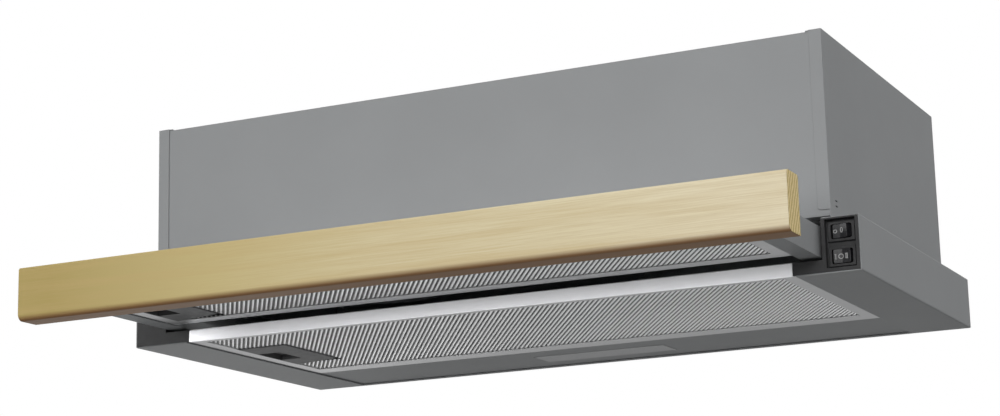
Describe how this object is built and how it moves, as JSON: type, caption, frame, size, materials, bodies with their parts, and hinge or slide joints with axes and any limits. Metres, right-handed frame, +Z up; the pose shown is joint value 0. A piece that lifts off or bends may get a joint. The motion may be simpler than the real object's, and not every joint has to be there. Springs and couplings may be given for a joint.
{
  "type": "pull-out cooker hood",
  "caption": "Built-in pull-out cooker hood: steel casing over a slim canopy, a drawer with a wooden grip bar, expanded-metal grease filters and rocker switches at one end.",
  "frame": {"origin": "centre of the base rectangle of the whole hood with its drawer pulled out, on the plane of the canopy's underside", "axes": "+X to the hood's right seen from the front, +Y to the rear (the wall), +Z up"},
  "size_m": [0.6, 0.441, 0.2007],
  "materials": {
    "grey_steel": "satin",
    "bare_steel": "galvanised",
    "bright_aluminium": "brushed",
    "filter_aluminium": "satin",
    "maple": "clear satin varnish",
    "black_plastic": "fine grain",
    "rocker_plastic": "semi-gloss",
    "dark_plastic": "fine grain",
    "frosted_plastic": "frosted",
    "lamp_glass": "clear",
    "white_ceramic": "glazed",
    "motor_steel": "satin",
    "blower_plastic": "plain",
    "rubber": "matt",
    "screw_steel": "zinc plated",
    "spring_steel": "bright"
  },
  "bodies": {
    "hood": {"side_panel_left": "grey_steel", "side_panel_right": "grey_steel", "front_panel": "grey_steel", "top_panel": "grey_steel", "back_panel": "grey_steel", "canopy_side_left": "grey_steel", "canopy_side_right": "grey_steel", "canopy_rear": "grey_steel", "lamp_panel": "grey_steel", "front_rail": "bare_steel", "lamp_tray": "bare_steel", "slide_outer": "bare_steel", "slide_brackets": "bare_steel", "flap_pin": "bare_steel", "front_band": "bright_aluminium", "end_cap_left": "black_plastic", "switch_housing": "black_plastic", "light_switch_body": "black_plastic", "fan_switch_body": "black_plastic", "cable_gland": "black_plastic", "outlet_spigot": "dark_plastic", "control_box": "dark_plastic", "capacitor": "dark_plastic", "lamp_bulb": "lamp_glass", "lamp_holder": "white_ceramic", "motor": "motor_steel", "volute_lower": "blower_plastic", "volute_upper": "blower_plastic", "motor_bushes": "rubber", "blower_screws": "screw_steel", "casing_screws": "screw_steel"},
    "drawer": {"grip_bar": "maple", "bar_bracket": "bare_steel", "bar_screws": "screw_steel", "drawer_side_left": "grey_steel", "drawer_side_right": "grey_steel", "drawer_cross": "bare_steel", "slide_inner": "bare_steel", "drawer_filter_frame": "filter_aluminium", "drawer_filter_mesh": "filter_aluminium", "drawer_filter_core": "filter_aluminium", "drawer_latch_housing": "dark_plastic", "drawer_latch_spring": "spring_steel"},
    "slide_cages": {"ball_cages": "bare_steel", "slide_balls": "bare_steel"},
    "drawer_latch_slider": {"drawer_latch": "dark_plastic"},
    "main_filter": {"main_filter_frame": "filter_aluminium", "main_filter_mesh": "filter_aluminium", "main_filter_core": "filter_aluminium", "main_latch_housing": "dark_plastic", "main_latch_spring": "spring_steel"},
    "main_latch_slider": {"main_latch": "dark_plastic"},
    "light_switch_rocker": {"light_rocker": "rocker_plastic"},
    "fan_switch_rocker": {"fan_rocker": "rocker_plastic"},
    "lamp_cover": {"lamp_cover": "frosted_plastic"},
    "fan_wheel": {"impeller": "blower_plastic", "motor_shaft": "bare_steel"},
    "front_flap": {"flap_front": "dark_plastic"},
    "rear_flap": {"flap_rear": "dark_plastic"}
  },
  "joints": [
    {"name": "drawer_slide", "type": "slide", "parent": "hood", "child": "drawer", "axis": [0, 1, 0], "range_m": [0, 0.1295]},
    {"name": "cage_slide", "type": "slide", "parent": "hood", "child": "slide_cages", "axis": [0, 1, 0], "range_m": [0, 0.06475]},
    {"name": "drawer_latch_slide", "type": "slide", "parent": "drawer", "child": "drawer_latch_slider", "axis": [1, 0, 0], "range_m": [0, 0.0055], "stiffness_N_per_m": 500, "springref_m": -0.004, "deforming": ["drawer_latch_spring"]},
    {"name": "main_filter_hinge", "type": "hinge", "parent": "hood", "child": "main_filter", "pos_m": [0.2515, 0.0355, 0.001], "axis": [0, -1, 0], "range_deg": [0, 75]},
    {"name": "main_latch_slide", "type": "slide", "parent": "main_filter", "child": "main_latch_slider", "axis": [1, 0, 0], "range_m": [0, 0.0055], "stiffness_N_per_m": 500, "springref_m": -0.004, "deforming": ["main_latch_spring"]},
    {"name": "light_rocker_tip", "type": "hinge", "parent": "hood", "child": "light_switch_rocker", "pos_m": [0.2857, -0.0615, 0.0295], "axis": [0, 0, 1], "range_deg": [0, 16]},
    {"name": "fan_rocker_tip", "type": "hinge", "parent": "hood", "child": "fan_switch_rocker", "pos_m": [0.2857, -0.0615, 0.0117], "axis": [0, 0, 1], "range_deg": [-8, 8]},
    {"name": "lamp_cover_hinge", "type": "hinge", "parent": "hood", "child": "lamp_cover", "pos_m": [0, 0.1935, 0.0009], "axis": [1, 0, 0], "range_deg": [0, 75]},
    {"name": "fan_wheel_spin", "type": "hinge", "parent": "hood", "child": "fan_wheel", "pos_m": [-0.152, 0.0585, 0.124], "axis": [0, 0, 1], "continuous": true},
    {"name": "front_flap_hinge", "type": "hinge", "parent": "hood", "child": "front_flap", "pos_m": [0, 0.1015, 0.181], "axis": [-1, 0, 0], "range_deg": [0, 75]},
    {"name": "rear_flap_hinge", "type": "hinge", "parent": "hood", "child": "rear_flap", "pos_m": [0, 0.1015, 0.181], "axis": [1, 0, 0], "range_deg": [0, 75]}
  ],
  "couplings": [
    {"joint": "cage_slide", "follows": "drawer_slide", "ratio": 0.5}
  ]
}
